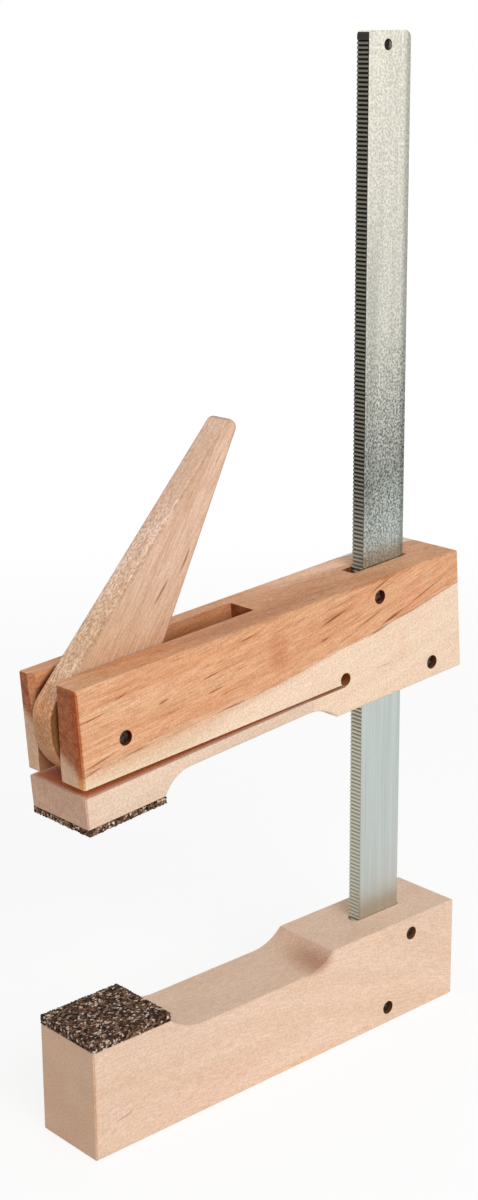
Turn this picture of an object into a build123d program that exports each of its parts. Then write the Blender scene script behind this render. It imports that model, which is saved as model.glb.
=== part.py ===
from build123d import *

import os
from math import asin, atan2, cos, degrees, hypot, radians, sin, sqrt, tan

# Wooden cam clamp, standing on its fixed jaw. Millimetres, +Z up along the bar,
# X along the jaws with the tips at -X, Y across their thickness. The origin is
# on the foot of the fixed jaw, on the centreline of the bar.

# Flat steel bar
bar_width = 20.0
bar_thickness = 5.0
bar_top = 348.4  # height of its upper end above the foot
bar_foot_gap = 1.0  # its lower end stops short of the foot by this much
bar_front_corner = 1.6
bar_back_corner = 2.8
notch_pitch = 1.43
notch_depth = 0.45
notch_opening = 0.95
hanging_hole_diameter = 3.7
hanging_hole_drop = 4.5  # centre below the upper end
hanging_hole_shift = -0.7  # centre towards the notched edge

# Both jaws
end_round = 0.6  # corners of the ends
edge_break = 0.5  # flat eased on the long edges
relief_heel_radius = 19.0  # cutter arc that ends the relief at the bar
relief_corner_round = 1.0
pin_diameter = 4.8
pin_fit = 0.02  # radial, pin in its hole
pin_recess = 1.5  # pin ends below the faces of the jaw
pin_chamfer = 0.4
bar_side_fit = 0.15  # bar in the mortise of the fixed jaw, each side

# Fixed jaw
fixed_thickness = 28.0
fixed_reach = 141.1  # tip to centreline of the bar
fixed_heel = 28.5  # centreline of the bar to the back end
fixed_depth = 38.2
fixed_tip_rise = 0.5  # pad block above the face at the bar
fixed_pad_length = 32.2
fixed_pad_thickness = 3.0
fixed_relief_depth = 5.5
fixed_tip_radius = 22.5  # cutter arc that ends the relief at the pad
fixed_relief_end = 33.8  # its heel edge from the centreline of the bar
fixed_upper_pin_shift = 5.8
fixed_upper_pin_height = 32.0
fixed_lower_pin_shift = -6.0
fixed_lower_pin_height = 6.2

# Sliding jaw, in its own axes: x from the centreline of the bar, z from its heel
sliding_height = 149.25  # middle of the jaw on the bar, as it stands here
sliding_droop = 4.27  # degrees that the slack jaw hangs down at its tip
sliding_reach = 142.7
sliding_heel = 27.4
sliding_depth = 43.2
sliding_thickness = 28.6
mortise_width = 6.0
mortise_end_play = 0.15
upper_pin_drop = 6.4  # below the top of the jaw
lower_pin_rise = 5.7  # above the bottom of the heel
pin_bite = 0.1  # of each pin behind the line of the notched edge when it grips

# Lever slot, cut from the tip and open at the top
slot_width = 11.4
slot_shift = 2.6  # its middle plane from that of the jaw
slot_length = 82.8
slot_mouth_ease = 1.9  # chamfer of its mouth at the top of the jaw
slot_ease_foot = 15.0  # height where that chamfer has run out

# Saw kerf and the springy tongue below it
kerf_width = 1.2
kerf_height = 10.2
kerf_hole_diameter = 4.5
kerf_hole_setback = 30.4  # from the centreline of the bar
kerf_hole_rise = 2.1  # hole centre above the kerf
tongue_depth = 4.2
tongue_relief_end = 35.0
tongue_tip_radius = 13.0  # cutter arc that ends the relief at the pad block
block_drop = 1.1  # pad block below the bottom of the heel
moving_pad_length = 31.2
moving_pad_thickness = 2.2
knuckle_fit = 0.05

# Cam lever on its pivot pin
lever_thickness = 10.2
lever_shift = 2.6  # its middle plane from that of the jaw
lever_reach = 105.6  # pivot to rounded end
lever_front_angle = 43.15  # degrees from the jaw, as it stands here
lever_back_angle = 59.5
lever_front_offset = 21.1  # pivot to front edge
lever_back_offset = 13.8
lever_end_round = 2.6
lever_heel_round = 7.0
lever_brow_setback = 19.05  # pivot to the flat front of the cam
lever_brow_round = 17.0
lever_nose_round = 10.0
lever_edge_round = 1.6
lever_stop_gap = 0.3
pivot_setback = 17.3  # from the tip of the jaw
pivot_height = 22.7
pivot_fit = 0.05  # radial, lever on its pin
cam_growth = 2.7  # radius gained for each radian of turn
cam_gap = 0.12

# Places worked out from the sizes
cut_through = 2 * sliding_thickness  # length of a cutter that crosses either jaw
bar_half = bar_width / 2
pin_radius = pin_diameter / 2
hinge_shift = -sliding_reach + pivot_setback
tongue_top = kerf_height - kerf_width / 2
kerf_hole_height = kerf_height + kerf_hole_rise
tongue_middle = tongue_top - tongue_depth / 2


def run_out(radius, depth):
    """Length that a cutter arc takes to leave a relief of this depth."""
    return sqrt(depth * (2 * radius - depth))


# The tongue bends about a line in the middle of its root
root_shift = -tongue_relief_end - run_out(relief_heel_radius, tongue_top - tongue_depth)
root_to_pivot = root_shift - hinge_shift

# The folded lever rests its back edge on the end of the slot
stop_across = slot_length - pivot_setback
stop_up = sliding_depth - pivot_height
stop_turn = asin((lever_back_offset + lever_stop_gap) / hypot(stop_across, stop_up))
lever_fold = lever_back_angle - degrees(atan2(stop_up, stop_across) + stop_turn)
tongue_ratio = cam_growth / (root_to_pivot + cam_growth)
tongue_turn = lever_fold * tongue_ratio

# Distance from the pivot to the tongue as it stands, less the gap
cam_radius = (
    root_to_pivot * sin(radians(tongue_turn))
    + (pivot_height - tongue_middle) * cos(radians(tongue_turn))
    - tongue_depth / 2
    - cam_gap
)

sliding_place = (
    Pos(0, 0, sliding_height) * Rot(0, -sliding_droop, 0) * Pos(0, 0, -sliding_depth / 2)
)
tongue_place = (
    sliding_place
    * Pos(root_shift, 0, tongue_middle)
    * Rot(0, -tongue_turn, 0)
    * Pos(-root_shift, 0, -tongue_middle)
)


def plate(outline, thickness, middle=0.0):
    """Board of this thickness, its outline drawn in X and Z."""
    return Pos(0, middle, 0) * extrude(Plane.XZ * outline, amount=thickness / 2, both=True)


def cross_pin(shift, height, length, middle=0.0, radius=pin_radius):
    """Round bar across the jaw at this place."""
    return Pos(shift, middle, height) * Rot(90, 0, 0) * Cylinder(radius, length)


def pin_hole(shift, height):
    return cross_pin(shift, height, cut_through, radius=pin_radius + pin_fit)


def steel_pin(shift, height, thickness):
    """Pin driven through a jaw of this thickness."""
    pin = cross_pin(shift, height, thickness - 2 * pin_recess)
    return chamfer(pin.edges().filter_by(GeomType.CIRCLE), pin_chamfer)


def corner_setback(width):
    """How far the round end of a mortise keeps the square bar from its end."""
    return width / 2 - sqrt((width / 2) ** 2 - (bar_thickness / 2) ** 2)


def mortise(length, width, depth):
    """Routed slot with round ends, through a jaw of this depth."""
    return Pos(0, 0, depth / 2) * extrude(SlotOverall(length, width), amount=depth, both=True)


def round_corners(outline, corners, radius):
    """Round the corners of an outline that lie nearest to these points."""
    picked = [outline.vertices().sort_by_distance((x, z, 0))[0] for x, z in corners]
    return fillet(picked, radius)


def ease_faces(board):
    """Break the long edges of a board, where its two faces meet its outline."""
    faces = board.faces().sort_by(Axis.Y)
    return chamfer(faces[0].edges() + faces[-1].edges(), edge_break)


def relieved_jaw(reach, heel, heel_z, back_z, tip_z, floor_z, relief_end, tip_length, tip_radius):
    """Outline of a jaw whose working side is cut away between its tip and the bar."""
    turn = 1 if heel_z > floor_z else -1
    heel_start = -relief_end - run_out(relief_heel_radius, turn * (heel_z - floor_z))
    tip_edge = -reach + tip_length
    tip_start = tip_edge + run_out(tip_radius, turn * (tip_z - floor_z))
    back = Polyline(
        (tip_edge, tip_z),
        (-reach, tip_z),
        (-reach, back_z),
        (heel, back_z),
        (heel, heel_z),
        (-relief_end, heel_z),
    )
    heel_arc = TangentArc((heel_start, floor_z), (-relief_end, heel_z), tangent=(1, 0))
    floor = Line((heel_start, floor_z), (tip_start, floor_z))
    tip_arc = TangentArc((tip_start, floor_z), (tip_edge, tip_z), tangent=(-1, 0))
    outline = make_face(back + heel_arc + floor + tip_arc)
    outline = round_corners(outline, [(-relief_end, heel_z)], relief_corner_round)
    ends = [(-reach, tip_z), (-reach, back_z), (heel, back_z), (heel, heel_z)]
    return round_corners(outline, ends + [(tip_edge, tip_z)], end_round)


def fixed_jaw():
    outline = relieved_jaw(
        fixed_reach,
        fixed_heel,
        fixed_depth,
        0.0,
        fixed_depth + fixed_tip_rise,
        fixed_depth - fixed_relief_depth,
        fixed_relief_end,
        fixed_pad_length,
        fixed_tip_radius,
    )
    jaw = ease_faces(plate(outline, fixed_thickness))
    width = bar_thickness + 2 * bar_side_fit
    length = bar_width + 2 * (corner_setback(width) + bar_side_fit)
    jaw -= mortise(length, width, fixed_depth)
    jaw -= pin_hole(fixed_upper_pin_shift, fixed_upper_pin_height)
    return jaw - pin_hole(fixed_lower_pin_shift, fixed_lower_pin_height)


def pad(reach, length, width, thickness, middle_z):
    """Cork pad glued to the tip of a jaw."""
    return Pos(-reach + length / 2, 0, middle_z) * Box(length, width, thickness)


def notched_edge():
    """Front edge of the bar, a row of fine notches from its foot to its top."""
    usable = bar_top - bar_front_corner - bar_foot_gap
    count = int(usable / notch_pitch)
    points = [(-bar_half, bar_foot_gap)]
    for step in range(count):
        low = bar_foot_gap + (step + 1) * notch_pitch - notch_opening
        points.append((-bar_half, low))
        points.append((-bar_half + notch_depth, low + notch_opening / 2))
        points.append((-bar_half, low + notch_opening))
    return points


def bar():
    turn = bar_front_corner
    bend = bar_back_corner
    front = Polyline(*notched_edge(), (-bar_half, bar_top - turn))
    front_corner = RadiusArc((-bar_half, bar_top - turn), (-bar_half + turn, bar_top), turn)
    top = Line((-bar_half + turn, bar_top), (bar_half - bend, bar_top))
    back_corner = RadiusArc((bar_half - bend, bar_top), (bar_half, bar_top - bend), bend)
    back = Polyline(
        (bar_half, bar_top - bend), (bar_half, bar_foot_gap), (-bar_half, bar_foot_gap)
    )
    steel = plate(make_face(front + front_corner + top + back_corner + back), bar_thickness)
    steel -= cross_pin(
        hanging_hole_shift,
        bar_top - hanging_hole_drop,
        2 * bar_thickness,
        radius=hanging_hole_diameter / 2,
    )
    steel -= pin_hole(fixed_upper_pin_shift, fixed_upper_pin_height)
    return steel - pin_hole(fixed_lower_pin_shift, fixed_lower_pin_height)


def sliding_pin_places():
    """Upper front and lower back pin, square to the bar when both of them grip it."""
    shift = bar_half + pin_radius - pin_bite
    return (-shift, sliding_depth - upper_pin_drop), (shift, lower_pin_rise)


def root_knuckle(radius):
    return cross_pin(root_shift, tongue_middle, cut_through, radius=radius)


def below_kerf():
    """Everything under the kerf from the tip to the middle of the root."""
    length = root_shift + sliding_reach + sliding_depth
    return Pos(root_shift - length / 2, 0, tongue_top - sliding_depth / 2) * Box(
        length, cut_through, sliding_depth
    )


def sliding_blank():
    """The board before the kerf frees its tongue."""
    outline = relieved_jaw(
        sliding_reach,
        sliding_heel,
        0.0,
        sliding_depth,
        -block_drop,
        tongue_top - tongue_depth,
        tongue_relief_end,
        moving_pad_length,
        tongue_tip_radius,
    )
    return ease_faces(plate(outline, sliding_thickness))


def kerf():
    length = sliding_reach - kerf_hole_setback
    saw_cut = Pos(-kerf_hole_setback - length / 2, 0, kerf_height) * Box(
        length, cut_through, kerf_width
    )
    stop_hole = cross_pin(
        -kerf_hole_setback,
        kerf_hole_height,
        cut_through,
        radius=kerf_hole_diameter / 2,
    )
    return saw_cut + stop_hole


def lever_slot():
    return Pos(-sliding_reach + slot_length / 2, slot_shift, sliding_depth) * Box(
        slot_length, slot_width, 2 * (sliding_depth - kerf_height)
    )


def mouth_chamfer(side):
    """Tapered cut on the inner corner of one cheek, widest at the top of the jaw."""
    lean = degrees(atan2(slot_mouth_ease / sqrt(2), sliding_depth - slot_ease_foot))
    corner = Pos(-sliding_reach, slot_shift + side * slot_width / 2, slot_ease_foot)
    breadth = 2 * slot_mouth_ease
    cutter = Box(breadth, breadth, sliding_depth, align=(Align.MIN, Align.CENTER, Align.MIN))
    return corner * Rot(0, 0, -135 * side) * Rot(0, -lean, 0) * cutter


def knuckle_radius():
    """The root's round end spans the tongue from its top to its underside."""
    return tongue_depth * 0.64


def sliding_jaw():
    jaw = sliding_blank() - kerf() - lever_slot() - below_kerf()
    jaw -= mouth_chamfer(-1)
    jaw -= mouth_chamfer(1)
    jaw -= root_knuckle(knuckle_radius() + knuckle_fit)
    length = bar_width / cos(radians(sliding_droop))
    length += sliding_depth * tan(radians(sliding_droop))
    length += 2 * (corner_setback(mortise_width) + mortise_end_play)
    jaw -= mortise(length, mortise_width, sliding_depth)
    for shift, height in sliding_pin_places():
        jaw -= pin_hole(shift, height)
    return jaw - pin_hole(hinge_shift, pivot_height)


def pressure_tongue():
    """Springy strip and pad block that the kerf leaves under the sliding jaw."""
    blank = sliding_blank()
    strip = blank & below_kerf()
    return strip + (blank & root_knuckle(knuckle_radius()) - kerf())


def heading(angle):
    """Unit vector at this angle, in degrees, from the tip-to-heel direction."""
    return Vector(cos(radians(angle)), sin(radians(angle)))


def meet(point, angle, other_point, other_angle):
    """Where a line at one angle crosses a line at another."""
    along, across = heading(angle), heading(other_angle)
    apart = other_point - point
    span = (apart.X * across.Y - apart.Y * across.X) / (along.X * across.Y - along.Y * across.X)
    return point + along * span


def cam_height(turn):
    """Distance from the pivot to the tongue that the cam gives after this turn."""
    return cam_radius + cam_growth * radians(turn)


def cam_point(turn):
    """Point of the spiral that touches the tongue once the lever has made this turn."""
    facing = -90.0 - turn
    return heading(facing) * cam_height(turn) - heading(facing + 90) * cam_growth


def cam_piece(first, last):
    """Stretch of the spiral between two turns of the lever."""
    third = radians(last - first) / 3
    start, end = cam_point(first), cam_point(last)
    leaving = heading(180 - first) * cam_height(first) * third
    arriving = heading(180 - last) * cam_height(last) * third
    return Bezier(start, start + leaving, end - arriving, end)


def cam_outline():
    """Lever about its pivot: a spiral cam, a front and a back edge and a round end."""
    first_turn, last_turn = -lever_fold - 5.0, 54.0
    spiral = cam_piece(first_turn, 0.0) + cam_piece(0.0, last_turn)
    lever_angle = (lever_front_angle + lever_back_angle) / 2
    front = heading(lever_front_angle + 90) * lever_front_offset
    back = heading(lever_back_angle - 90) * lever_back_offset
    end = heading(lever_angle) * lever_reach
    flat = Vector(-lever_brow_setback, 0)
    brow = meet(flat, 90, cam_point(last_turn), 180 - last_turn)
    nose = meet(front, lever_front_angle, flat, 90)
    end_front = meet(front, lever_front_angle, end, lever_angle + 90)
    end_back = meet(back, lever_back_angle, end, lever_angle + 90)
    heel = meet(back, lever_back_angle, cam_point(first_turn), -first_turn)
    rest = [brow, nose, end_front, end_back, heel]
    outline = make_face(spiral + Polyline(cam_point(last_turn), *rest, cam_point(first_turn)))
    outline = round_corners(outline, [(brow.X, brow.Y)], lever_brow_round)
    outline = round_corners(outline, [(nose.X, nose.Y)], lever_nose_round)
    outline = round_corners(outline, [(heel.X, heel.Y)], lever_heel_round)
    ends = [(end_front.X, end_front.Y), (end_back.X, end_back.Y)]
    return round_corners(outline, ends, lever_end_round)


def cam_lever():
    lever = plate(cam_outline(), lever_thickness)
    faces = lever.faces().sort_by(Axis.Y)
    lever = fillet(faces[0].edges() + faces[-1].edges(), lever_edge_round)
    lever -= cross_pin(0, 0, 2 * lever_thickness, radius=pin_radius + pivot_fit)
    return Pos(hinge_shift, lever_shift, pivot_height) * lever


def build_parts():
    upper, lower = sliding_pin_places()
    parts = {
        "fixed_jaw": fixed_jaw(),
        "fixed_jaw_cork_pad": pad(
            fixed_reach,
            fixed_pad_length,
            fixed_thickness,
            fixed_pad_thickness,
            fixed_depth + fixed_tip_rise + fixed_pad_thickness / 2,
        ),
        "guide_bar": bar(),
        "fixed_jaw_upper_pin": steel_pin(
            fixed_upper_pin_shift, fixed_upper_pin_height, fixed_thickness
        ),
        "fixed_jaw_lower_pin": steel_pin(
            fixed_lower_pin_shift, fixed_lower_pin_height, fixed_thickness
        ),
        "sliding_jaw": sliding_place * sliding_jaw(),
        "front_grip_pin": sliding_place * steel_pin(*upper, sliding_thickness),
        "rear_grip_pin": sliding_place * steel_pin(*lower, sliding_thickness),
        "cam_pivot_pin": sliding_place
        * steel_pin(hinge_shift, pivot_height, sliding_thickness),
        "cam_lever": sliding_place * cam_lever(),
        "pressure_tongue": tongue_place * pressure_tongue(),
        "moving_cork_pad": tongue_place
        * pad(
            sliding_reach,
            moving_pad_length,
            sliding_thickness,
            moving_pad_thickness,
            -block_drop - moving_pad_thickness / 2,
        ),
    }
    return parts


parts = build_parts()
os.makedirs("parts", exist_ok=True)
for name, shape in parts.items():
    export_step(shape, f"parts/{name}.step")
    print(name, round(shape.volume), shape.bounding_box())
print("lever folds", round(lever_fold, 2), "tongue ratio", round(tongue_ratio, 5))
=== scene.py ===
import math

import bmesh
import bpy
from mathutils import Matrix, Vector, noise


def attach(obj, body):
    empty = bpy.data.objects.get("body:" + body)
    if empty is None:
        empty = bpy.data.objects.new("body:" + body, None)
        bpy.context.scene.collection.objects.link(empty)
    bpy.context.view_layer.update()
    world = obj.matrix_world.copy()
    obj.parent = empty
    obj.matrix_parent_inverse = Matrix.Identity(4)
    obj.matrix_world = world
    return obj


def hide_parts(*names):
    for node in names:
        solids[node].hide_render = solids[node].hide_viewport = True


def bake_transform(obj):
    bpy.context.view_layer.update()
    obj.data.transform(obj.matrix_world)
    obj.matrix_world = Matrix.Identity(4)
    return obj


print("cam clamp: loading the solids")
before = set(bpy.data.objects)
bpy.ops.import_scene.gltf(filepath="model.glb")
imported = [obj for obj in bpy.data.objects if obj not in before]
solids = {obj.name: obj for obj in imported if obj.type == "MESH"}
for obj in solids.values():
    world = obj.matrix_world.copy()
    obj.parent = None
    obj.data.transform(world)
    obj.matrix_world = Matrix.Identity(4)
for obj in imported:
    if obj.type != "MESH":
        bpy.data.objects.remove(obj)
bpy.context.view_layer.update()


def addObject(name, data):
    made = bpy.data.objects.new(name, data)
    bpy.context.scene.collection.objects.link(made)
    return made


def addPiece(name, shape, material):
    # turns a finished bmesh into an object with its place in its mesh
    mesh = bpy.data.meshes.new(name)
    shape.to_mesh(mesh)
    shape.free()
    mesh.materials.append(material)
    return addObject(name, mesh)


# Camera

photoView = {
    "place": (-0.47951, -0.45812, 0.35049),
    "azimuth": -42.135,
    "elevation": 16.30,
    "roll": -0.415,
    "lens": 59.07,
    "longSide": 36.0,
}


def placeCamera(spec):
    turn, rise, roll = (math.radians(spec[key]) for key in ("azimuth", "elevation", "roll"))
    back = Vector((math.sin(turn) * math.cos(rise), -math.cos(turn) * math.cos(rise), math.sin(rise)))
    right = Vector((0, 0, 1)).cross(back).normalized()
    up = back.cross(right)
    level = math.cos(roll) * right + math.sin(roll) * up
    upright = math.cos(roll) * up - math.sin(roll) * right
    lens = bpy.data.cameras.new("photoCamera")
    lens.sensor_width = spec["longSide"]
    lens.lens = spec["lens"]
    camera = addObject("photoCamera", lens)
    axes = Matrix((level, upright, back)).transposed().to_4x4()
    camera.matrix_world = Matrix.Translation(Vector(spec["place"])) @ axes
    bpy.context.scene.camera = camera


placeCamera(photoView)


# Small helpers for node trees

def shade(red, green, blue):
    # a colour as it is picked on screen, 0 to 255, made linear for a socket
    parts = [value / 255 for value in (red, green, blue)]
    linear = [part / 12.92 if part <= 0.04045 else ((part + 0.055) / 1.055) ** 2.4 for part in parts]
    return (*linear, 1.0)


def addNode(tree, kind, inputs=None, **settings):
    made = tree.nodes.new("ShaderNode" + kind)
    for key, value in settings.items():
        setattr(made, key, value)
    for key, value in (inputs or {}).items():
        if isinstance(value, bpy.types.NodeSocket):
            tree.links.new(value, made.inputs[key])
        else:
            made.inputs[key].default_value = value
    return made


def calc(tree, operation, first, second=0.0, third=0.0, clamp=False):
    keys = {0: first, 1: second, 2: third}
    return addNode(tree, "Math", keys, operation=operation, use_clamp=clamp).outputs[0]


def product(tree, *factors):
    result = factors[0]
    for factor in factors[1:]:
        result = calc(tree, "MULTIPLY", result, factor)
    return result


def curveOf(tree, value, start, slope, bend):
    return calc(tree, "MULTIPLY_ADD", value, calc(tree, "MULTIPLY_ADD", value, bend, slope), start)


def fade(tree, value, low, high, start=0.0, end=1.0):
    keys = {"Value": value, "From Min": low, "From Max": high, "To Min": start, "To Max": end}
    return addNode(tree, "MapRange", keys, interpolation_type="SMOOTHSTEP").outputs["Result"]


def mixColor(tree, factor, first, second, mode="MIX"):
    keys = {0: factor, 6: first, 7: second}
    return addNode(tree, "Mix", keys, data_type="RGBA", blend_type=mode).outputs[2]


def tintBy(tree, mask, color, tint):
    return mixColor(tree, mask, color, tint, "MULTIPLY")


def toneBy(tree, color, value, dark, light, low=0.34, high=0.66):
    # multiplies a colour by a tint that runs from dark to light with a pattern
    return tintBy(tree, 1.0, color, mixColor(tree, fade(tree, value, low, high), dark, light))


def toneRamp(tree, value, tones, interpolation="LINEAR"):
    ramp = addNode(tree, "ValToRGB", {0: value})
    band = ramp.color_ramp
    band.interpolation = interpolation
    while len(band.elements) < len(tones):
        band.elements.new(0.5)
    for stop, (place, tone) in zip(band.elements, tones):
        stop.position = place
        stop.color = tone
    return ramp.outputs[0]


def lengthOf(tree, vector):
    return addNode(tree, "VectorMath", {0: vector}, operation="LENGTH").outputs["Value"]


def fromHole(tree, parts, centreX, centreZ):
    # how far a point is from the axis of a hole drilled across
    keys = {0: calc(tree, "SUBTRACT", parts[0], centreX), 1: calc(tree, "SUBTRACT", parts[2], centreZ)}
    return lengthOf(tree, addNode(tree, "CombineXYZ", keys).outputs[0])


def grainNoise(tree, space, spread, detail=2.0, rough=0.5):
    # spread is the size of a patch along x, y and z, in millimetres
    shrink = tuple(1 / size for size in spread)
    thin = addNode(tree, "VectorMath", {0: space, 1: shrink}, operation="MULTIPLY").outputs[0]
    keys = {"Vector": thin, "Scale": 1.0, "Detail": detail, "Roughness": rough}
    return addNode(tree, "TexNoise", keys).outputs[0]


def millimetres(tree, origin=(0, 0, 0), tilt=0.0, place=None):
    # a point seen from a corner of the board, along its own edges
    if place:
        # a piece that bends is drawn from where its points sit at rest
        seen = addNode(tree, "Attribute", attribute_name=place).outputs["Vector"]
    else:
        seen = addNode(tree, "TexCoord").outputs["Object"]
    keys = {"Vector": seen, "Location": origin, "Rotation": (0, math.radians(-tilt), 0),
            "Scale": (0.001, 0.001, 0.001)}
    return addNode(tree, "Mapping", keys, vector_type="TEXTURE").outputs[0]


def newMaterial(name, roughness, metallic=0.0, specular=0.5):
    material = bpy.data.materials.new(name)
    material.use_nodes = True
    tree = material.node_tree
    shader = tree.nodes["Principled BSDF"]
    shader.inputs["Roughness"].default_value = roughness
    shader.inputs["Metallic"].default_value = metallic
    shader.inputs["Specular IOR Level"].default_value = specular
    return material, tree, shader


def finishMaterial(tree, shader, color, height, depth):
    tree.links.new(color, shader.inputs["Base Color"])
    keys = {"Height": height, "Strength": 1.0, "Distance": depth}
    tree.links.new(addNode(tree, "Bump", keys).outputs[0], shader.inputs["Normal"])


def paint(name, material):
    slots = solids[name].material_slots
    for slot in slots:
        slot.material = material
    if not slots:
        solids[name].data.materials.append(material)


# Wood

# lengths are in millimetres along, across and up the board
# a pair is where a fade starts and ends, and two more numbers are its values there
oiled = {
    "specular": 0.14,
    "relief": 0.0001,  # metres
    "poreRange": (0.64, 0.72),
    "speckRelief": 0.6,
    "endFacing": (0.3, 0.85),
    "fleckDepth": 1.5,  # how far a fleck reaches into the side
    "fleckEdge": (1.1, 0.2),
    "holeEdge": (0.12, 0.02),
}
holeShade = (0.20, 0.12, 0.08, 1)
darkFleck = (0.36, 0.21, 0.14, 1)
brownFleck = (0.55, 0.38, 0.27, 1)
faintFleck = (0.76, 0.62, 0.50, 1)


def climbingGrain(tree, space, climb):
    # the grain rises along the board, more steeply the further it goes
    along = addNode(tree, "SeparateXYZ", {0: space}).outputs[0]
    rise = addNode(tree, "CombineXYZ", {2: curveOf(tree, along, 0.0, *climb)}).outputs[0]
    return addNode(tree, "VectorMath", {0: space, 1: rise}, operation="SUBTRACT").outputs[0]


def woodFigure(tree, grain, wood, ground, strength=1.0):
    # broad bands, fibres, fine speckle and pores over the ground colour
    bands = grainNoise(tree, grain, wood["bandSize"])
    color = toneBy(tree, ground, bands, wood["bandDark"], wood["bandLight"])
    fibres = grainNoise(tree, grain, wood["fibreSize"], detail=3.0, rough=0.6)
    lined = toneBy(tree, color, fibres, wood["fibreDark"], wood["fibreLight"])
    color = mixColor(tree, strength, color, lined)
    specks = grainNoise(tree, grain, wood["speckSize"], rough=0.6)
    color = toneBy(tree, color, specks, wood["speckDark"], wood["speckLight"])
    pores = grainNoise(tree, grain, wood["poreSize"], detail=1.0)
    poreMask = product(tree, fade(tree, pores, *oiled["poreRange"], 0.0, wood["poreDepth"]), strength)
    color = tintBy(tree, poreMask, color, wood["poreTint"])
    height = calc(tree, "ADD", calc(tree, "MULTIPLY", fibres, -1.0),
                  calc(tree, "MULTIPLY", specks, -oiled["speckRelief"]))
    return color, height


def boardFacing(tree, tilt):
    # how squarely the surface faces along, across and up the board
    normal = addNode(tree, "TexCoord").outputs["Normal"]
    keys = {"Vector": normal, "Axis": (0, 1, 0), "Angle": math.radians(tilt)}
    turned = addNode(tree, "VectorRotate", keys).outputs[0]
    return [calc(tree, "ABSOLUTE", part) for part in addNode(tree, "SeparateXYZ", {0: turned}).outputs]


def addMarks(tree, space, color, wood):
    marks = [((along, wood["side"], up), (halfLength, oiled["fleckDepth"], halfHeight), slope, tint)
             for along, up, halfLength, halfHeight, slope, tint in wood["flecks"]]
    for middle, half, slope, tint in marks + list(wood["patchesAndShade"]):
        keys = {"Vector": space, "Location": middle, "Rotation": (0, math.radians(-slope), 0), "Scale": half}
        reach = addNode(tree, "Mapping", keys, vector_type="TEXTURE").outputs[0]
        color = tintBy(tree, fade(tree, lengthOf(tree, reach), *oiled["fleckEdge"]), color, tint)
    return color


def paintHoleShade(tree, space, color, holes):
    # painted shade on the walls of drilled holes
    parts = addNode(tree, "SeparateXYZ", {0: space}).outputs
    for centreX, centreZ, radius, tint in holes:
        far = fromHole(tree, parts, centreX, centreZ)
        color = tintBy(tree, fade(tree, far, *(radius + margin for margin in oiled["holeEdge"])), color, tint)
    return color


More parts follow.
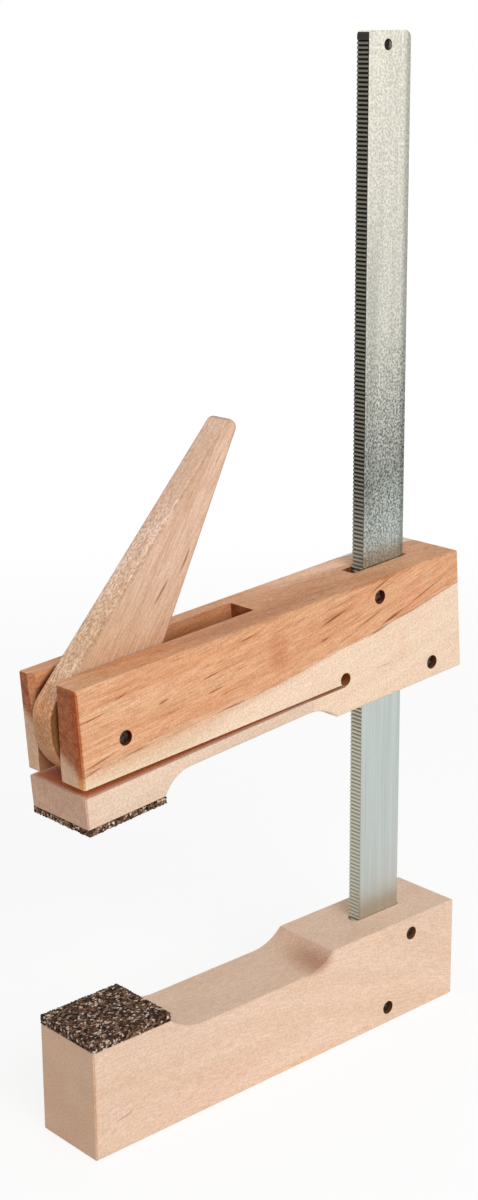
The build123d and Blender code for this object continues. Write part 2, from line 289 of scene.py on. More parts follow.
slidingBoard = {
    "origin": (-0.140696, 0, 0.117085),  # metres
    "tilt": 4.27,  # degrees
    "side": -14.3,  # how far across the near side lies
    "roughness": 0.52,
    "sap": shade(241, 214, 188),
    "orange": shade(229, 177, 137),
    "deepOrange": shade(222, 161, 119),
    "tipOrange": shade(233, 185, 146),
    "tipPart": (50, 10),
    # the border between sapwood and heartwood: height, slope, curve, and how it leans across
    "heartBorder": (16.2, 0.02, 0.00042),
    "heartLean": 0.60,
    "warpSize": (45, 12, 12),
    "warp": 2.4,
    "featherSize": (14, 0.9, 0.9),
    "feather": 3.6,
    "softPart": (35, 100),  # it is soft near the tip and crisp near the bar
    "softBelow": (-4.5, -0.9),
    "softAbove": (3.0, 1.1),
    "sapStrength": 0.25,
    # growth rings and dark lines lie parallel to the border
    "ringStretch": (0.012, 0.42),
    "ringRange": (0.34, 0.68),
    "lineStretch": (0.04, 1.6),
    "lineRange": (0.58, 0.69),
    "lineRise": (-3.0, 1.0, 0.04, 0.5),
    "lineTint": (0.70, 0.55, 0.43, 1),
    # a thin brown line on the border, plainest towards the bar
    "brimWidth": (0.42, 0.12),
    "brimRise": (95, 148, 0.25, 0.85),
    "brimTint": (0.66, 0.50, 0.38, 1),
    "climb": (0.095, 0.0004),
    "bandSize": (70, 10, 6),
    "bandDark": (0.96, 0.94, 0.93, 1),
    "bandLight": (1.03, 1.03, 1.03, 1),
    "fibreSize": (8, 0.6, 0.6),
    "fibreDark": (0.87, 0.82, 0.77, 1),
    "fibreLight": (1.06, 1.07, 1.08, 1),
    "speckSize": (0.75, 0.6, 0.6),
    "speckDark": (0.90, 0.87, 0.84, 1),
    "speckLight": (1.08, 1.10, 1.12, 1),
    "poreSize": (6, 0.55, 0.55),
    "poreDepth": 0.55,
    "poreTint": (0.62, 0.46, 0.35, 1),
    # the ends, where the grain shows end on
    "endTint": (0.86, 0.74, 0.67, 1),
    "crossFacing": (0.5, 0.95),
    "heartEnd": (0.65, 0.46, 0.35, 1),
    "heartEndRise": (-5.5, -0.5),
    "blotchSize": (2.0, 2.6, 2.0),
    "blotchDark": (0.72, 0.66, 0.60, 1),
    "blotchLight": (1.12, 1.10, 1.08, 1),
    "blotchRise": (0.0, 1.0, 0.35, 1.0),
    "cornerTint": (1.10, 0.77, 0.42, 1),
    "cornerWidth": 3.1,
    "cornerFeather": 2.0,
    "cornerSoft": (0.5, -0.5),
    "cornerRise": (0.0, 13.0),
    # painted shade: the walls of the lever slot darken with depth
    "slot": {
        "middle": 2.6,
        "wall": (5.45, 5.85),
        "end": 82.6,
        "depth": (43.5, 29.0),
        "lip": (0.86, 0.74, 0.66, 1),
        "deep": (0.46, 0.29, 0.21, 1),
        "facing": 0.5,
    },
    # painted shade in the drilled holes: centre along and up, radius, tint
    "holes": (
        (17.3, 22.7, 2.42, holeShade),
        (130.4, 36.8, 2.42, (0.26, 0.16, 0.12, 1)),
        (155.0, 5.7, 2.42, holeShade),
        (112.3, 12.3, 2.27, (0.44, 0.27, 0.17, 1)),
    ),
    # painted shade inside the cuts, as middle, half size, soft margin, tint: the saw kerf, then the mortise
    "cuts": (
        ((55.0, 0, 10.2), (57.0, 20, 0.66), 0.01, (0.74, 0.56, 0.44, 1)),
        ((142.7, 0, 21.6), (13.4, 3.02, 21.7), 0.01, (0.30, 0.19, 0.14, 1)),
    ),
    # on the near side: along, up, half length, half height, slope in degrees, tint
    "flecks": (
        (16.7, 36.5, 3.4, 0.50, 12, brownFleck),
        (33.0, 29.5, 2.8, 0.60, 8, brownFleck),
        (53.0, 32.0, 4.0, 0.42, 6, brownFleck),
        (54.5, 26.7, 4.6, 0.46, 5, brownFleck),
        (65.5, 30.6, 4.6, 0.42, 6, faintFleck),
        (69.5, 39.8, 6.4, 0.40, 4, brownFleck),
        (108.4, 35.6, 8.4, 0.58, 12.5, darkFleck),
        (103.5, 29.3, 2.8, 0.60, 9, brownFleck),
        (131.0, 41.0, 7.6, 0.50, 19, brownFleck),
        (128.5, 25.1, 6.8, 0.55, 9, brownFleck),
        (136.0, 28.0, 6.4, 0.62, 14, darkFleck),
        (152.0, 32.5, 12.0, 0.42, 17, brownFleck),
        (125.0, 30.4, 9.0, 0.40, 15, brownFleck),
        (115.0, 27.2, 6.0, 0.40, 12, faintFleck),
        (119.0, 32.6, 5.0, 0.40, 13, faintFleck),
        (6.5, 18.2, 9.0, 0.42, 10, brownFleck),
        (21.5, 17.2, 8.0, 0.40, 4, brownFleck),
        (3.5, 15.7, 5.0, 0.40, 14, brownFleck),
        (61.5, 19.1, 6.4, 0.42, 2, brownFleck),
        (4.5, 32.7, 7.5, 0.42, 5, brownFleck),
        (131.5, 11.8, 5.5, 0.40, 1, (0.84, 0.72, 0.60, 1)),
        (140.5, 17.0, 3.0, 8.0, -4, (0.99, 0.92, 0.91, 1)),
        (82.5, 32.0, 6.0, 10.0, 0, (0.88, 0.77, 0.72, 1)),
        (146.0, 34.0, 8.0, 6.0, 12, (1.03, 0.95, 1.00, 1)),
        (130.0, 43.2, 19.0, 1.3, 0, (0.74, 0.54, 0.44, 1)),
        (0.0, 29.0, 1.3, 24.0, 0, (0.90, 0.76, 0.66, 1)),
        (22.0, 13.5, 42.0, 4.5, 1, (0.92, 0.89, 0.83, 1)),
    ),
    # anywhere: middle, half size, slope in degrees, tint
    "patchesAndShade": (
        ((84.0, -8.0, 43.2), (52.0, 9.0, 2.0), 0, (0.80, 0.72, 0.64, 1)),
        # painted shadow of the lever on the far wall of the slot, where it falls at rest
        ((5.4, 8.3, 38.9), (9.0, 1.2, 1.8), 41, (0.34, 0.21, 0.15, 1)),
        ((128.0, 11.0, 43.2), (46.0, 8.0, 3.0), 0, (1.36, 1.64, 2.05, 1)),
    ),
}

# the sprung tongue was sawn from the same board and hangs a little lower
tongueTilt = 5.294
tongueBoard = dict(
    slidingBoard,
    origin=(-0.140421, 0, 0.115415),
    tilt=tongueTilt,
    sap=shade(232, 205, 182),
    cornerTint=(1, 1, 1, 1),
    endTint=(0.84, 0.71, 0.66, 1),
    slot=None,
    holes=(),
    cuts=(((60.0, 0, 14.0), (60.0, 14.3, 9.0), 2.6, (0.90, 0.42, 0.23, 1)),),  # the shade in the kerf
    flecks=(),
    patchesAndShade=(),
)


def paintCutShade(tree, space, color, cuts):
    # painted shade inside sawn and milled cuts
    for middle, half, margin, tint in cuts:
        away = addNode(tree, "VectorMath", {0: space, 1: middle}, operation="SUBTRACT").outputs[0]
        away = addNode(tree, "VectorMath", {0: away}, operation="ABSOLUTE").outputs[0]
        over = addNode(tree, "VectorMath", {0: away, 1: half}, operation="SUBTRACT").outputs[0]
        parts = addNode(tree, "SeparateXYZ", {0: over}).outputs
        worst = calc(tree, "MAXIMUM", calc(tree, "MAXIMUM", parts[0], parts[1]), parts[2])
        color = tintBy(tree, fade(tree, worst, 0.0, -margin), color, tint)
    return color


def layerNoise(tree, along, depth, stretch, detail=2.0, rough=0.5):
    # layers of wood, drawn out along the board
    drawn = calc(tree, "MULTIPLY", along, stretch[0])
    stacked = calc(tree, "MULTIPLY", depth, stretch[1])
    layer = addNode(tree, "CombineXYZ", {0: drawn, 2: stacked}).outputs[0]
    keys = {"Vector": layer, "Scale": 1.0, "Detail": detail, "Roughness": rough}
    return addNode(tree, "TexNoise", keys).outputs[0]


def heartDepth(tree, space, wood):
    # how far above the border between sapwood and heartwood a point lies, and the feathering of that border
    along, across, upward = addNode(tree, "SeparateXYZ", {0: space}).outputs
    border = curveOf(tree, along, *wood["heartBorder"])
    lean = calc(tree, "MULTIPLY_ADD", across, wood["heartLean"], -wood["side"] * wood["heartLean"])
    warp = calc(tree, "SUBTRACT", grainNoise(tree, space, wood["warpSize"]), 0.5)
    depth = calc(tree, "SUBTRACT", calc(tree, "SUBTRACT", upward, border), lean)
    depth = calc(tree, "MULTIPLY_ADD", warp, wood["warp"], depth)
    feather = calc(tree, "SUBTRACT", grainNoise(tree, space, wood["featherSize"], detail=3.0), 0.5)
    return depth, feather


def addEndGrain(tree, space, color, wood, endOn, edge, heart, feather):
    across, upward = addNode(tree, "SeparateXYZ", {0: space}).outputs[1:]
    color = tintBy(tree, fade(tree, endOn, *oiled["endFacing"]), color, wood["endTint"])
    cross = fade(tree, endOn, *wood["crossFacing"])
    brown = product(tree, cross, fade(tree, edge, *wood["heartEndRise"]))
    color = tintBy(tree, brown, color, wood["heartEnd"])
    blotch = grainNoise(tree, space, wood["blotchSize"], detail=3.0, rough=0.6)
    blotched = toneBy(tree, color, blotch, wood["blotchDark"], wood["blotchLight"])
    color = mixColor(tree, product(tree, cross, fade(tree, heart, *wood["blotchRise"])), color, blotched)
    # the near corner is more orange
    inner = calc(tree, "MULTIPLY_ADD", feather, wood["cornerFeather"], wood["side"] + wood["cornerWidth"])
    corner = fade(tree, calc(tree, "SUBTRACT", across, inner), *wood["cornerSoft"])
    corner = product(tree, corner, fade(tree, upward, *wood["cornerRise"]), cross)
    return tintBy(tree, corner, color, wood["cornerTint"])


def paintSlotShade(tree, space, color, slot, endOn):
    # painted shade on the walls of the lever slot, deeper further down
    along, across, upward = addNode(tree, "SeparateXYZ", {0: space}).outputs
    offset = calc(tree, "ABSOLUTE", calc(tree, "SUBTRACT", across, slot["middle"]))
    inner, outer = slot["wall"]
    wall = product(tree, calc(tree, "GREATER_THAN", offset, inner), calc(tree, "LESS_THAN", offset, outer),
                   calc(tree, "LESS_THAN", along, slot["end"]),
                   calc(tree, "LESS_THAN", endOn, slot["facing"]))
    tint = mixColor(tree, fade(tree, upward, *slot["depth"]), slot["lip"], slot["deep"])
    return tintBy(tree, wall, color, tint)


def makeSlidingWood(name, wood, place=None):
    material, tree, shader = newMaterial(name, wood["roughness"], specular=oiled["specular"])
    space = millimetres(tree, wood["origin"], wood["tilt"], place)
    along = addNode(tree, "SeparateXYZ", {0: space}).outputs[0]
    depth, feather = heartDepth(tree, space, wood)
    edge = calc(tree, "MULTIPLY_ADD", feather, wood["feather"], depth)
    heart = fade(tree, edge, fade(tree, along, *wood["softPart"], *wood["softBelow"]),
                 fade(tree, along, *wood["softPart"], *wood["softAbove"]))
    rings = layerNoise(tree, along, depth, wood["ringStretch"], detail=3.0, rough=0.6)
    orange = mixColor(tree, fade(tree, along, *wood["tipPart"]), wood["orange"], wood["tipOrange"])
    orange = mixColor(tree, fade(tree, rings, *wood["ringRange"]), orange, wood["deepOrange"])
    color = mixColor(tree, heart, wood["sap"], orange)
    lines = layerNoise(tree, along, depth, wood["lineStretch"])
    lineMask = product(tree, fade(tree, lines, *wood["lineRange"]), fade(tree, edge, *wood["lineRise"]))
    color = tintBy(tree, lineMask, color, wood["lineTint"])
    brim = fade(tree, calc(tree, "ABSOLUTE", depth), *wood["brimWidth"])
    color = tintBy(tree, product(tree, brim, fade(tree, along, *wood["brimRise"])), color, wood["brimTint"])
    strength = fade(tree, heart, 0.0, 1.0, wood["sapStrength"], 1.0)
    color, height = woodFigure(tree, climbingGrain(tree, space, wood["climb"]), wood, color, strength)
    endOn = boardFacing(tree, wood["tilt"])[0]
    color = addEndGrain(tree, space, color, wood, endOn, edge, heart, feather)
    if wood["slot"]:
        color = paintSlotShade(tree, space, color, wood["slot"], endOn)
    color = addMarks(tree, space, color, wood)
    color = paintCutShade(tree, space, color, wood["cuts"])
    color = paintHoleShade(tree, space, color, wood["holes"])
    finishMaterial(tree, shader, color, height, oiled["relief"])
    return material


fixedBoard = {
    "origin": (-0.1411, 0, 0),
    "tilt": 0.0,
    "side": -14.3,
    "roughness": 0.55,
    "ground": shade(238, 208, 184),
    "climb": (0.06, -0.0012),
    "bandSize": (60, 12, 9),
    "bandDark": (0.97, 0.95, 0.93, 1),
    "bandLight": (1.02, 1.02, 1.03, 1),
    "fibreSize": (6, 0.7, 0.7),
    "fibreDark": (0.94, 0.92, 0.89, 1),
    "fibreLight": (1.03, 1.04, 1.05, 1),
    "speckSize": (0.75, 0.6, 0.6),
    "speckDark": (0.92, 0.90, 0.88, 1),
    "speckLight": (1.06, 1.07, 1.08, 1),
    "poreSize": (5, 0.55, 0.55),
    "poreDepth": 0.22,
    "poreTint": (0.78, 0.64, 0.52, 1),
    "endTint": (0.86, 0.78, 0.72, 1),
    "holes": ((146.9, 32.0, 2.42, (0.26, 0.17, 0.12, 1)), (135.1, 6.2, 2.42, holeShade)),
    "flecks": (
        (11.8, 11.6, 4.2, 0.45, 8, (0.74, 0.60, 0.48, 1)),
        (15.0, 12.8, 2.4, 0.40, 16, (0.80, 0.66, 0.55, 1)),
        (54.0, 8.5, 30.0, 8.0, 4, (1.01, 0.96, 0.97, 1)),
        (86.0, 1.0, 40.0, 3.0, 0, (1.00, 0.94, 0.86, 1)),
        (0.0, 19.0, 1.4, 26.0, 0, (0.96, 0.85, 0.76, 1)),
        (20.0, 19.0, 60.0, 60.0, 0, (0.95, 0.94, 0.93, 1)),
    ),
    # painted shade on the riser at the end of the relief
    "patchesAndShade": (((99.5, -12.0, 36.0), (8.5, 24.0, 5.0), 0, (0.58, 0.42, 0.36, 1)),),
}

leverBoard = {
    "origin": (-0.125134, 0, 0.14101),
    "tilt": 57.0,
    "side": -2.5,
    "roughness": 0.5,
    "ground": shade(220, 184, 160),
    "climb": (0.0, 0.0),
    "bandSize": (60, 6, 4),
    "bandDark": (0.95, 0.91, 0.87, 1),
    "bandLight": (1.04, 1.06, 1.08, 1),
    "fibreSize": (10, 0.8, 0.8),
    "fibreDark": (0.90, 0.85, 0.80, 1),
    "fibreLight": (1.07, 1.09, 1.10, 1),
    "speckSize": (0.95, 0.65, 0.65),
    "speckDark": (0.93, 0.91, 0.89, 1),
    "speckLight": (1.06, 1.07, 1.08, 1),
    "poreSize": (5, 0.5, 0.5),
    "poreDepth": 0.6,
    "poreTint": (0.72, 0.58, 0.46, 1),
    "holes": (),
    "flecks": (
        (99.5, 8.6, 6.0, 0.60, -20, brownFleck),
        (59.2, -3.5, 5.5, 0.50, 4, brownFleck),
        (46.2, 0.3, 6.5, 0.55, -6, brownFleck),
    ),
    "patchesAndShade": (),
    # quarter-sawn edges are paler and show small bright rays in wavy rows
    "rays": {
        "ground": shade(246, 210, 186),
        "groundFacing": (0.7, 0.97),
        "facing": (0.2, 0.85),
        "rise": (88.0, 58.0, 0.35, 1.0),
        "waveSize": (2.4, 1.0, 1.0),
        "waveReach": 2.2,
        "size": (1.2, 0.55, 0.55),
        "range": (0.38, 0.62),
        "light": (1.26, 1.28, 1.30, 1),
        "dark": (0.80, 0.77, 0.74, 1),
        # painted shade on the rounded arris between the front and the sides
        "roundShade": (0.88, 0.87, 0.86, 1),
        "roundFrom": (0.15, 0.45),
        "roundTo": (0.98, 0.80),
    },
    # browner towards the cam, with painted shade on the cam's flanks inside the slot
    "rootTint": (0.92, 0.90, 0.80, 1),
    "rootRise": (56.0, 22.0),
    "camTint": (0.90, 0.67, 0.51, 1),
    "camRise": (8.0, -3.0),
    "flankShade": (0.41, 0.34, 0.22, 1),
    "flankRise": (7.0, 2.0),
    "flankFacing": (0.55, 0.75),
}


def addRays(tree, space, color, rays, edgeOn):
    along = addNode(tree, "SeparateXYZ", {0: space}).outputs[0]
    wave = calc(tree, "MULTIPLY", grainNoise(tree, space, rays["waveSize"], detail=1.0), rays["waveReach"])
    keys = {0: (0.0, 1.0, 1.0), 1: wave, 2: space}
    bent = addNode(tree, "VectorMath", keys, operation="MULTIPLY_ADD").outputs[0]
    pattern = grainNoise(tree, bent, rays["size"], detail=1.0)
    rayed = toneBy(tree, color, pattern, rays["dark"], rays["light"], *rays["range"])
    mask = product(tree, fade(tree, edgeOn, *rays["facing"]), fade(tree, along, *rays["rise"]))
    color = mixColor(tree, mask, color, rayed)
    # painted shade on the rounded arris
    rounded = product(tree, fade(tree, edgeOn, *rays["roundFrom"]), fade(tree, edgeOn, *rays["roundTo"]))
    return tintBy(tree, rounded, color, rays["roundShade"])


def tintCamShadeFlank(tree, space, color, wood, sideOn):
    along = addNode(tree, "SeparateXYZ", {0: space}).outputs[0]
    color = tintBy(tree, fade(tree, along, *wood["rootRise"]), color, wood["rootTint"])
    color = tintBy(tree, fade(tree, along, *wood["camRise"]), color, wood["camTint"])
    # painted shade on the cam's flanks inside the slot
    flank = product(tree, fade(tree, sideOn, *wood["flankFacing"]), fade(tree, along, *wood["flankRise"]))
    return tintBy(tree, flank, color, wood["flankShade"])


def makePlainWood(name, wood):
    material, tree, shader = newMaterial(name, wood["roughness"], specular=oiled["specular"])
    space = millimetres(tree, wood["origin"], wood["tilt"])
    endOn, sideOn, edgeOn = boardFacing(tree, wood["tilt"])
    ground = wood["ground"]
    rays = wood.get("rays")
    if rays:
        ground = mixColor(tree, fade(tree, edgeOn, *rays["groundFacing"]), ground, rays["ground"])
    color, height = woodFigure(tree, climbingGrain(tree, space, wood["climb"]), wood, ground)
    if "endTint" in wood:
        color = tintBy(tree, fade(tree, endOn, *oiled["endFacing"]), color, wood["endTint"])
    if rays:
        color = addRays(tree, space, color, rays, edgeOn)
        color = tintCamShadeFlank(tree, space, color, wood, sideOn)
    color = addMarks(tree, space, color, wood)
    color = paintHoleShade(tree, space, color, wood["holes"])
    finishMaterial(tree, shader, color, height, oiled["relief"])
    return material


print("cam clamp: wood")
paint("sliding_jaw", makeSlidingWood("slidingJawMaple", slidingBoard))
paint("fixed_jaw", makePlainWood("fixedJawMaple", fixedBoard))
paint("cam_lever", makePlainWood("leverMaple", leverBoard))


# Tongue

# it is one board with the sliding jaw, which bends out of it instead of turning, so loops are cut across the
# bend
tongue = {
    "root": (-0.047084, 0, 0.131595),  # metres, as the other lengths here
    "bendStart": (-0.0500, 0, 0.1313),
    "bendEnd": (-0.0850, 0, 0.1281),
    "bendCuts": 14,
    "seamFit": 0.00005,
    "knuckle": 0.002688,
    "merge": 1e-6,
    "flatAngle": 0.4,  # degrees
    "place": "restPlace",
}


def makeTongue(spec, wood):
    board = bmesh.new()
    board.from_mesh(solids["pressure_tongue"].data)
    bmesh.ops.remove_doubles(board, verts=board.verts, dist=spec["merge"])
    bmesh.ops.dissolve_limit(board, angle_limit=math.radians(spec["flatAngle"]), verts=board.verts,
                             edges=board.edges)
    # its round root grows a hair, so that no line shows where it leaves the jaw
    root = Vector(spec["root"])
    for vert in board.verts:
        away = Vector((vert.co.x - root.x, 0, vert.co.z - root.z))
        if away.length < spec["knuckle"] + spec["seamFit"] and vert.co.x > root.x - spec["seamFit"]:
            vert.co += away.normalized() * spec["seamFit"]
    start, end = Vector(spec["bendStart"]), Vector(spec["bendEnd"])
    for cut in range(spec["bendCuts"] + 1):
        middle = start.lerp(end, cut / spec["bendCuts"])
        bmesh.ops.bisect_plane(board, geom=board.verts[:] + board.edges[:] + board.faces[:],
                               plane_co=middle, plane_no=(end - start).normalized())
    piece = addPiece("bent_tongue", board, wood)
    # the grain is drawn from where each point sits at rest, so it bends and slides with the wood
    places = piece.data.attributes.new(spec["place"], "FLOAT_VECTOR", "POINT")
    for point, place in zip(piece.data.vertices, places.data):
        place.vector = point.co
    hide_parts("pressure_tongue")
    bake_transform(piece)


print("cam clamp: tongue")
makeTongue(tongue, makeSlidingWood("tongueMaple", tongueBoard, tongue["place"]))


# Cork pads

cork = {
    # the block, in metres
    "step": 0.00035,
    "granule": 0.0011,
    "pit": 0.00022,
    "pitWall": 3.0,  # a higher number narrows the pits between granules
    "merge": 1e-6,
    "flatAngle": 0.01,  # radians
    "onWall": 1e-5,
    # the finish, in millimetres
    "roughness": 0.85,
    "specular": 0.2,
    "grainSize": 0.85,
    "nudgeScale": 1.1,
    "nudge": (0.9, 0.9, 0.9),
    "tones": (
        (0.00, shade(34, 24, 20)),
        (0.22, shade(84, 58, 44)),
        (0.46, shade(124, 90, 68)),
        (0.66, shade(158, 124, 100)),
        (0.84, shade(232, 212, 190)),
    ),
    # painted shade in the crevices between the granules
    "gapWidth": 0.10,
    "gapShade": (0.35, 0.28, 0.24, 1),
    "domeWidth": 0.3,
    "relief": 0.0003,  # metres
}


def makeCorkMaterial(spec):
    material, tree, shader = newMaterial("granularCork", spec["roughness"], specular=spec["specular"])
    space = millimetres(tree)
    keys = {"Vector": space, "Scale": spec["nudgeScale"], "Detail": 2.0}
    keys = {0: addNode(tree, "TexNoise", keys).outputs[1], 1: spec["nudge"], 2: space}
    shifted = addNode(tree, "VectorMath", keys, operation="MULTIPLY_ADD").outputs[0]
    keys = {"Vector": shifted, "Scale": 1 / spec["grainSize"]}
    granules = addNode(tree, "TexVoronoi", keys).outputs["Color"]
    pick = addNode(tree, "SeparateColor", {0: granules}).outputs[0]
    tones = toneRamp(tree, pick, spec["tones"], "CONSTANT")
    gaps = addNode(tree, "TexVoronoi", keys, feature="DISTANCE_TO_EDGE").outputs[0]
    # painted shade in the crevices between the granules
    color = tintBy(tree, fade(tree, gaps, spec["gapWidth"], 0.0), tones, spec["gapShade"])
    finishMaterial(tree, shader, color, fade(tree, gaps, 0.0, spec["domeWidth"]), spec["relief"])
    return material


def makePad(name, solid, body, gluedOnTop, tilt, spec, material):
    # a crumbly block cut from the pad's own solid, flat where it is glued on
    pad = bmesh.new()
    pad.from_mesh(solids[solid].data)
    bmesh.ops.remove_doubles(pad, verts=pad.verts, dist=spec["merge"])
    level = Matrix.Rotation(math.radians(tilt), 4, "Y")
    bmesh.ops.transform(pad, matrix=level, verts=pad.verts)
    low = Vector([min(vert.co[axis] for vert in pad.verts) for axis in range(3)])
    high = Vector([max(vert.co[axis] for vert in pad.verts) for axis in range(3)])
    bmesh.ops.dissolve_limit(pad, angle_limit=spec["flatAngle"], verts=pad.verts, edges=pad.edges)
    for axis in range(3):
        normal = Vector([1.0 if other == axis else 0.0 for other in range(3)])
        count = round((high[axis] - low[axis]) / spec["step"])
        for cut in range(1, count):
            bmesh.ops.bisect_plane(pad, geom=pad.verts[:] + pad.edges[:] + pad.faces[:],
                                   plane_co=low + (high - low) * (cut / count), plane_no=normal)
    glued = high.z if gluedOnTop else low.z
    centre = (low + high) / 2
    for vert in pad.verts:
        if abs(vert.co.z - glued) < spec["step"] * 0.5:
            continue
        near, second = noise.voronoi(vert.co / spec["granule"])[0][:2]
        pit = max(0.0, 1.0 - (second - near) * spec["pitWall"]) * spec["pit"]
        inward = Vector((0.0, 0.0, 0.0))
        for axis in range(3):
            wall = low if vert.co[axis] < centre[axis] else high
            if abs(vert.co[axis] - wall[axis]) < spec["onWall"]:
                inward[axis] = math.copysign(pit, centre[axis] - vert.co[axis])
        vert.co += inward
    bmesh.ops.transform(pad, matrix=level.inverted(), verts=pad.verts)
    piece = addPiece(name, pad, material)
    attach(piece, body)
    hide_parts(solid)


print("cam clamp: cork pads")
corkMaterial = makeCorkMaterial(cork)
makePad("fixed_cork", "fixed_jaw_cork_pad", "frame", False, 0.0, cork, corkMaterial)
makePad("moving_cork", "moving_cork_pad", "tongue", True, tongueTilt, cork, corkMaterial)


# Bar and pins

# lengths are in millimetres, and places up the bar are shares of its height
zinc = {
    "roughness": 0.36,
    "top": 348.4,
    "slant": -0.5,
    # painted reflection: warm where it mirrors the fixed jaw, cool between the jaws, dark above the upper
    # one, pale at its top
    "reflectionTones": (
        (0.00, shade(196, 185, 172)),
        (0.20, shade(197, 204, 200)),
        (0.45, shade(198, 208, 203)),
        (0.58, shade(148, 150, 144)),
        (0.73, shade(211, 209, 198)),
        (1.00, shade(233, 229, 215)),
    ),
    # the zinc spangle shows from just above the sliding jaw and fades towards the top
    "mottleSize": (0.8, 0.8, 0.85),
    "mottleRange": (0.37, 0.63),
    "mottleDark": (0.36, 0.37, 0.37, 1),
    "mottleLight": (1.62, 1.62, 1.60, 1),
    "mottleFrom": (0.44, 0.56),
    "mottleTo": (0.60, 0.76, 1.0, 0.34),
    "streakSize": (1.0, 1.0, 70),
    "streakDark": (0.92, 0.92, 0.92, 1),
    "streakLight": (1.04, 1.04, 1.04, 1),
    "streakRise": (0.60, 0.40, 0.80, 1.0),
    # painted shade along the right long edge of the wide faces, a painted highlight along the left one, and a
    # band of painted shade inside it
    "edgesFrom": (0.36, 0.54),
    "rightEdge": (6.4, 9.4),
    "rightTint": (0.60, 0.61, 0.60, 1),
    "leftEdge": (-8.7, -9.3),
    "leftTint": (1.08, 1.08, 1.08, 1),
    "leftBand": (-3.0, -6.0),
    "leftBandFrom": (0.53, 0.60),
    "leftBandTo": (0.88, 0.76),
    "leftBandShade": (0.83, 0.84, 0.83, 1),
    # the notched edge, with painted shade in the gullets and above the last notch, and painted reflection
    # paling towards the foot
    "toothTop": shade(124, 120, 107),
    "toothFoot": shade(194, 192, 178),
    "gulletShadeTop": shade(61, 58, 52),
    "gulletShadeFoot": shade(164, 162, 146),
    "toothRise": (0.41, 0.62),
    "toothDepth": (-9.97, -9.80),
    "notchesBehind": -9.52,
    "notchEnd": (345.2, 345.8),
    # painted shade: the wall of the hanging hole goes dark with depth: centre along and up, radius
    "hole": (-0.7, 343.9, 1.90),
    "holeDepth": (-1.9, -0.9),
    "holeShadeTint": (0.05, 0.05, 0.05, 1),
    "relief": 0.00005,  # metres
}


def addNotches(tree, color, spec, along, upward, share):
    # painted reflection pales the edge towards the foot; painted shade fills the gullets and the end above
    # the last notch
    high = fade(tree, share, *spec["toothRise"])
    teeth = mixColor(tree, high, spec["toothFoot"], spec["toothTop"])
    gullets = mixColor(tree, high, spec["gulletShadeFoot"], spec["gulletShadeTop"])
    edge = mixColor(tree, fade(tree, along, *spec["toothDepth"]), teeth, gullets)
    edge = mixColor(tree, fade(tree, upward, *spec["notchEnd"]), edge, spec["gulletShadeTop"])
    return mixColor(tree, calc(tree, "LESS_THAN", along, spec["notchesBehind"]), color, edge)


def makeZinc(spec):
    material, tree, shader = newMaterial("platedSteel", spec["roughness"], metallic=1.0)
    space = millimetres(tree)
    parts = addNode(tree, "SeparateXYZ", {0: space}).outputs
    along, across, upward = parts
    share = calc(tree, "DIVIDE", calc(tree, "MULTIPLY_ADD", along, spec["slant"], upward), spec["top"])
    # painted reflection, toned by height up the bar
    plain = toneRamp(tree, share, spec["reflectionTones"])
    mottle = grainNoise(tree, space, spec["mottleSize"], detail=3.0, rough=0.7)
    spangled = toneBy(tree, plain, mottle, spec["mottleDark"], spec["mottleLight"], *spec["mottleRange"])
    spread = product(tree, fade(tree, share, *spec["mottleFrom"]), fade(tree, share, *spec["mottleTo"]))
    color = mixColor(tree, spread, plain, spangled)
    streaks = grainNoise(tree, space, spec["streakSize"], detail=3.0, rough=0.6)
    streaked = toneBy(tree, color, streaks, spec["streakDark"], spec["streakLight"])
    color = mixColor(tree, fade(tree, share, *spec["streakRise"]), color, streaked)
    # painted shade along the right edge, a painted highlight along the left edge and a band of painted shade
    # inside it
    upper = fade(tree, share, *spec["edgesFrom"])
    for side in ("right", "left"):
        mask = product(tree, fade(tree, along, *spec[side + "Edge"]), upper)
        color = tintBy(tree, mask, color, spec[side + "Tint"])
    band = product(tree, fade(tree, along, *spec["leftBand"]), fade(tree, share, *spec["leftBandFrom"]),
                   fade(tree, share, *spec["leftBandTo"]))
    color = tintBy(tree, band, color, spec["leftBandShade"])
    color = addNotches(tree, color, spec, along, upward, share)
    # painted shade in the hanging hole
    holeX, holeZ, radius = spec["hole"]
    inHole = calc(tree, "LESS_THAN", fromHole(tree, parts, holeX, holeZ), radius)
    mask = product(tree, inHole, fade(tree, across, *spec["holeDepth"]))
    color = tintBy(tree, mask, color, spec["holeShadeTint"])
    finishMaterial(tree, shader, color, calc(tree, "ADD", mottle, streaks), spec["relief"])
    return material


pinSteel = {
    "roughness": 0.5,
    "steel": shade(108, 92, 80),
    "stain": shade(50, 38, 31),
    "stainSize": (1.2, 1.2, 1.2),
    "stainRange": (0.35, 0.65),
    "relief": 0.00008,  # metres
}


def makePinSteel(spec):
    material, tree, shader = newMaterial("dullPinSteel", spec["roughness"], metallic=1.0)
    stain = grainNoise(tree, millimetres(tree), spec["stainSize"], detail=3.0, rough=0.6)
    color = mixColor(tree, fade(tree, stain, *spec["stainRange"]), spec["steel"], spec["stain"])
    finishMaterial(tree, shader, color, stain, spec["relief"])
    return material


print("cam clamp: bar and pins")
paint("guide_bar", makeZinc(zinc))
pinMaterial = makePinSteel(pinSteel)
for pinName in ("fixed_jaw_upper_pin", "fixed_jaw_lower_pin", "front_grip_pin", "rear_grip_pin",
                "cam_pivot_pin"):
    paint(pinName, pinMaterial)


# Studio

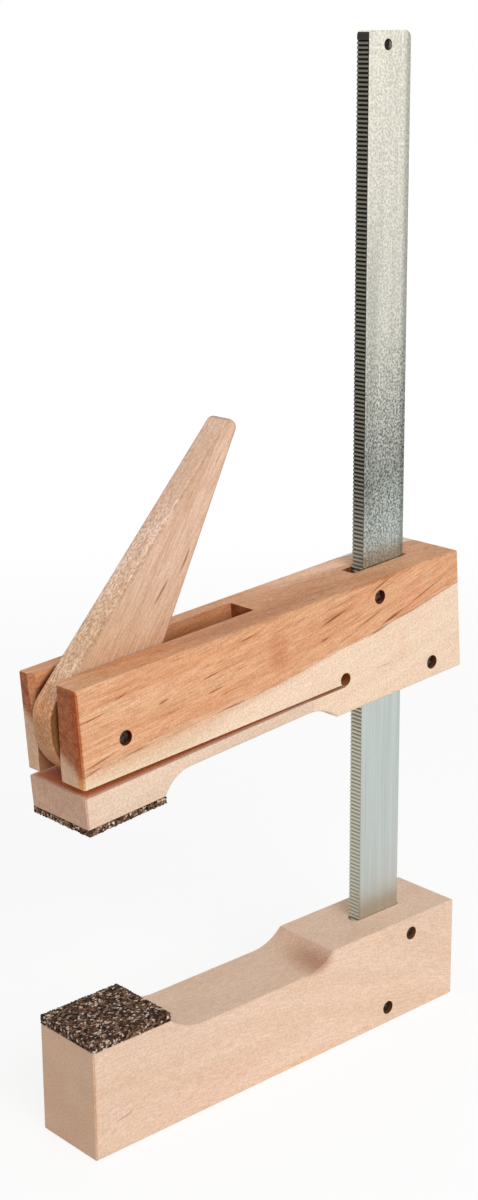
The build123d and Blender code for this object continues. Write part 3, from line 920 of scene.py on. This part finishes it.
studio = {
    "sky": 0.50,
    "floorSize": 4.0,
    "paper": ((0.90, 0.90, 0.90, 1), (0.93, 0.93, 0.93, 1)),
    "paperFibre": 60.0,
    "paperRoughness": 0.9,
    "paperSpecular": 0.1,
    # the paper burns out to white away from the object and keeps its shadow near it
    "paperWhite": (0.30, 1.1, 0.77, 1.0),
    "floorGlow": 1.06,
    "keyFrom": (-0.19, -0.857, 0.48),
    "keyAim": (-0.05, 0, 0.15),
    "keyDistance": 1.7,
    "keySize": 1.3,
    "keyPower": 15.6,
}


def seenDirectly(tree):
    # what the camera, a reflection or glass sees of the white surroundings
    path = addNode(tree, "LightPath").outputs
    both = calc(tree, "ADD", path["Is Camera Ray"], path["Is Glossy Ray"])
    return calc(tree, "ADD", both, path["Is Transmission Ray"], clamp=True)


def makeSky(spec):
    world = bpy.data.worlds.new("studio")
    bpy.context.scene.world = world
    world.use_nodes = True
    tree = world.node_tree
    tree.nodes.clear()
    soft = addNode(tree, "Background", {"Color": (1, 1, 1, 1), "Strength": spec["sky"]})
    white = addNode(tree, "Background", {"Color": (1, 1, 1, 1), "Strength": 1.0})
    both = addNode(tree, "MixShader", {0: seenDirectly(tree), 1: soft.outputs[0], 2: white.outputs[0]})
    addNode(tree, "OutputWorld", {0: both.outputs[0]})


def makeFloor(spec):
    material, tree, shader = newMaterial("paperSweep", spec["paperRoughness"], specular=spec["paperSpecular"])
    place = addNode(tree, "TexCoord").outputs["Object"]
    fibre = addNode(tree, "TexNoise", {"Vector": place, "Scale": spec["paperFibre"]}).outputs[0]
    tree.links.new(mixColor(tree, fibre, *spec["paper"]), shader.inputs["Base Color"])
    glow = addNode(tree, "Emission", {"Color": (1, 1, 1, 1), "Strength": spec["floorGlow"]})
    share = product(tree, seenDirectly(tree), fade(tree, lengthOf(tree, place), *spec["paperWhite"]))
    mixed = addNode(tree, "MixShader", {0: share, 1: shader.outputs[0], 2: glow.outputs[0]})
    tree.links.new(mixed.outputs[0], tree.nodes["Material Output"].inputs[0])
    sweep = bmesh.new()
    bmesh.ops.create_grid(sweep, x_segments=4, y_segments=4, size=spec["floorSize"])
    addPiece("paper_sweep", sweep, material)


def makeLamp(spec):
    lamp = bpy.data.lights.new("softKey", "AREA")
    lamp.shape = "DISK"
    lamp.size = spec["keySize"]
    lamp.energy = spec["keyPower"]
    key = addObject("softKey", lamp)
    direction = Vector(spec["keyFrom"]).normalized()
    turned = direction.to_track_quat("Z", "Y").to_matrix().to_4x4()
    key.matrix_world = Matrix.Translation(Vector(spec["keyAim"]) + direction * spec["keyDistance"]) @ turned


print("cam clamp: studio")
makeSky(studio)
makeFloor(studio)
makeLamp(studio)
bpy.context.scene.view_settings.view_transform = "Standard"

print("cam clamp: ready")
